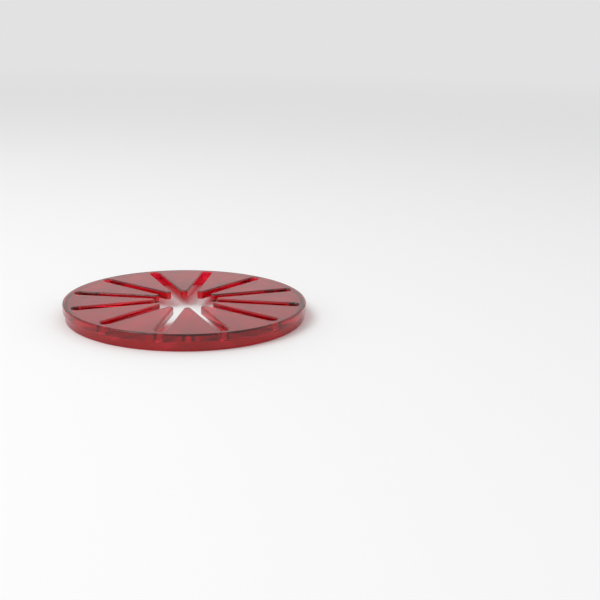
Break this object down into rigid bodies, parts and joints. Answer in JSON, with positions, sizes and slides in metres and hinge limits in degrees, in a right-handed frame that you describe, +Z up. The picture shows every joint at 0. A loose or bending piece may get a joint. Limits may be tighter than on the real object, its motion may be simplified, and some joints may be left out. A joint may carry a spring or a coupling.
{
  "type": "mixer whisk wiper",
  "caption": "Round clear red plastic disc with radial slots open to the centre, a rounded lip and a low inset skirt; whisk wires pass through the slots.",
  "frame": {"origin": "centre of the disc on the plane of the skirt's foot", "axes": "+Z up through the slotted plate; +X and +Y along the middle of a slot"},
  "size_m": [0.156, 0.156, 0.0108],
  "materials": {
    "clear_red_plastic": "clear dark red plastic, glossy as moulded"
  },
  "bodies": {
    "root": {"wiper_disc": "clear_red_plastic"}
  },
  "joints": []
}
